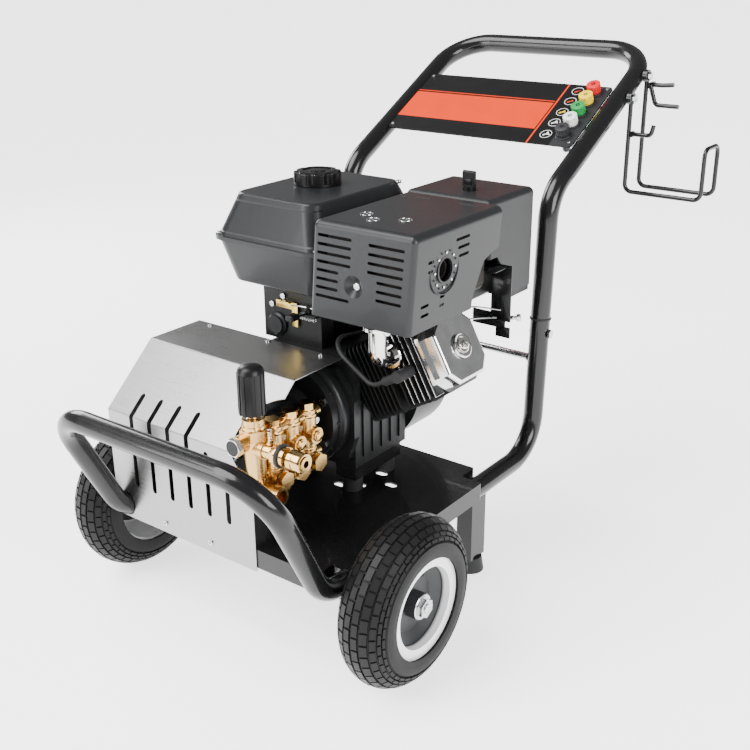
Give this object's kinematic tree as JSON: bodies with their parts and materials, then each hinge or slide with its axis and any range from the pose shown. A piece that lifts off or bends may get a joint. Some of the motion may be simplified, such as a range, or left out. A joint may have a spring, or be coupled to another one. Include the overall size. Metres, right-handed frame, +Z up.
{
  "type": "engine pressure washer",
  "caption": "Petrol-engined pressure washer on a two-wheeled tube frame, with plunger pump, gun cradle, nozzle panel and push handle.",
  "frame": {"origin": "bottom centre of the bounding box: on the floor, midway across and along the machine", "axes": "+X to the machine's right (the gun cradle's side), +Y from the front bumper to the push handle, +Z up"},
  "size_m": [0.7034, 1.114, 0.833],
  "materials": {
    "tyre": "matt black tyre rubber",
    "rim_steel": "zinc-plated rim with dark grey disc",
    "frame_paint": "black powder coat, satin",
    "cover_steel": "brushed stainless sheet",
    "zinc": "bright zinc plate",
    "rubber": "black rubber",
    "engine_black": "black baked enamel",
    "cast_alloy": "as-cast alloy",
    "fin_black": "black heat-proof paint",
    "polished_alloy": "polished alloy",
    "dark_grey_paint": "dark grey gloss enamel",
    "dark_grey_plastic": "dark grey moulded plastic",
    "black_plastic": "matt black moulding",
    "heat_steel": "heat-tinted steel",
    "chrome": "bright plating",
    "brass": "machined and cast brass",
    "panel_black": "black panel with orange band",
    "grip_yellow": "yellow moulding",
    "grip_red": "red moulding",
    "grip_green": "green moulding",
    "grip_white": "white moulding"
  },
  "bodies": {
    "chassis": {"air_cleaner_base": "black_plastic", "axle": "zinc", "base_tray": "frame_paint", "blower_housing": "dark_grey_paint", "carburettor": "cast_alloy", "control_panel": "panel_black", "crankcase_cover": "cast_alloy", "cross_brace": "zinc", "cylinder": "fin_black", "cylinder_head": "fin_black", "engine_bearers": "frame_paint", "engine_block": "cast_alloy", "engine_mounts": "rubber", "exhaust_pipe": "chrome", "fasteners": "zinc", "fuel_line": "rubber", "fuel_tank": "dark_grey_paint", "gun_cradle": "frame_paint", "handle_frame": "frame_paint", "ignition_lead": "rubber", "inlet_fitting": "brass", "lance_hooks": "frame_paint", "lower_frame": "frame_paint", "muffler": "heat_steel", "muffler_guard": "dark_grey_paint", "outlet_coupler": "brass", "pump_body": "cast_alloy", "pump_cover": "cover_steel", "pump_manifold": "brass", "rear_feet": "rubber", "rear_legs": "frame_paint", "recoil_cover": "dark_grey_paint", "spark_plug_cap": "rubber", "tank_brackets": "engine_black", "unloader": "brass", "unloader_plug": "zinc", "valve_caps": "zinc", "valve_cover": "polished_alloy"},
    "wheel_left": {"tyre_left": "tyre", "rim_left": "rim_steel"},
    "wheel_right": {"tyre_right": "tyre", "rim_right": "rim_steel"},
    "crank": {"crankshaft": "zinc", "flywheel": "cast_alloy"},
    "filler_cap": {"fuel_cap": "black_plastic"},
    "cleaner_lid": {"air_cleaner_cover": "dark_grey_plastic"},
    "cleaner_knob": {"air_cleaner_knob": "black_plastic"},
    "unloader_knob": {"pressure_knob": "black_plastic"},
    "coupler_sleeve": {"coupler_collar": "black_plastic"},
    "throttle": {"throttle_lever": "black_plastic"},
    "choke": {"choke_lever": "black_plastic"},
    "fuel_valve": {"fuel_valve_lever": "black_plastic"},
    "dipstick": {"oil_dipstick": "black_plastic"},
    "starter_grip": {"recoil_grip": "black_plastic"},
    "starter_reel": {"recoil_reel": "black_plastic"},
    "tip_red": {"spray_tip_red": "grip_red"},
    "tip_yellow": {"spray_tip_yellow": "grip_yellow"},
    "tip_green": {"spray_tip_green": "grip_green"},
    "tip_white": {"spray_tip_white": "grip_white"},
    "tip_black": {"spray_tip_black": "black_plastic"}
  },
  "joints": [
    {"name": "wheel_left_spin", "type": "hinge", "parent": "chassis", "child": "wheel_left", "pos_m": [-0.30875, -0.335, 0.13], "axis": [1, 0, 0], "continuous": true},
    {"name": "wheel_right_spin", "type": "hinge", "parent": "chassis", "child": "wheel_right", "pos_m": [0.25425, -0.335, 0.13], "axis": [1, 0, 0], "continuous": true},
    {"name": "crank_spin", "type": "hinge", "parent": "chassis", "child": "crank", "pos_m": [-0.02225, -0.135, 0.32], "axis": [0, 1, 0], "continuous": true},
    {"name": "fuel_cap_turn", "type": "hinge", "parent": "chassis", "child": "filler_cap", "pos_m": [-0.11525, -0.068, 0.65], "axis": [0, 0, 1], "range_deg": [0, 90]},
    {"name": "cleaner_lid_lift", "type": "slide", "parent": "chassis", "child": "cleaner_lid", "axis": [0, 0, 1], "range_m": [0, 0.03]},
    {"name": "cleaner_knob_turn", "type": "hinge", "parent": "cleaner_lid", "child": "cleaner_knob", "pos_m": [0.11175, 0.035, 0.645], "axis": [0, 0, 1], "continuous": true},
    {"name": "pressure_knob_turn", "type": "hinge", "parent": "chassis", "child": "unloader_knob", "pos_m": [0.03375, -0.4, 0.43], "axis": [0, 0, 1], "range_deg": [-360, 360]},
    {"name": "coupler_sleeve_slide", "type": "slide", "parent": "chassis", "child": "coupler_sleeve", "axis": [-1, 0, 0], "range_m": [0, 0.005], "stiffness_N_per_m": 900, "springref_m": -0.004},
    {"name": "throttle_swing", "type": "hinge", "parent": "chassis", "child": "throttle", "pos_m": [-0.03125, -0.199, 0.473], "axis": [0, 0, 1], "range_deg": [-25, 25]},
    {"name": "choke_swing", "type": "hinge", "parent": "chassis", "child": "choke", "pos_m": [0.12375, -0.048, 0.458], "axis": [1, 0, 0], "range_deg": [0, 35]},
    {"name": "fuel_valve_swing", "type": "hinge", "parent": "chassis", "child": "fuel_valve", "pos_m": [0.12475, -0.048, 0.422], "axis": [1, 0, 0], "range_deg": [0, 80]},
    {"name": "dipstick_turn", "type": "hinge", "parent": "chassis", "child": "dipstick", "pos_m": [-0.10725, -0.225, 0.261], "axis": [0, 1, 0], "continuous": true},
    {"name": "starter_pull", "type": "slide", "parent": "chassis", "child": "starter_grip", "axis": [-1, 0, 0], "range_m": [0, 0.04], "stiffness_N_per_m": 400, "springref_m": -0.01},
    {"name": "starter_reel_turn", "type": "hinge", "parent": "chassis", "child": "starter_reel", "pos_m": [-0.02225, 0.053, 0.32], "axis": [0, 1, 0], "range_deg": [-64, 0]},
    {"name": "tip_red_pull", "type": "slide", "parent": "chassis", "child": "tip_red", "axis": [0, -0.4772, 0.8788], "range_m": [0, 0.035]},
    {"name": "tip_yellow_pull", "type": "slide", "parent": "chassis", "child": "tip_yellow", "axis": [0, -0.4772, 0.8788], "range_m": [0, 0.035]},
    {"name": "tip_green_pull", "type": "slide", "parent": "chassis", "child": "tip_green", "axis": [0, -0.4772, 0.8788], "range_m": [0, 0.035]},
    {"name": "tip_white_pull", "type": "slide", "parent": "chassis", "child": "tip_white", "axis": [0, -0.4772, 0.8788], "range_m": [0, 0.035]},
    {"name": "tip_black_pull", "type": "slide", "parent": "chassis", "child": "tip_black", "axis": [0, -0.4772, 0.8788], "range_m": [0, 0.035]}
  ],
  "couplings": [
    {"joint": "starter_reel_turn", "follows": "starter_pull", "rad_per_m": -27.78}
  ]
}
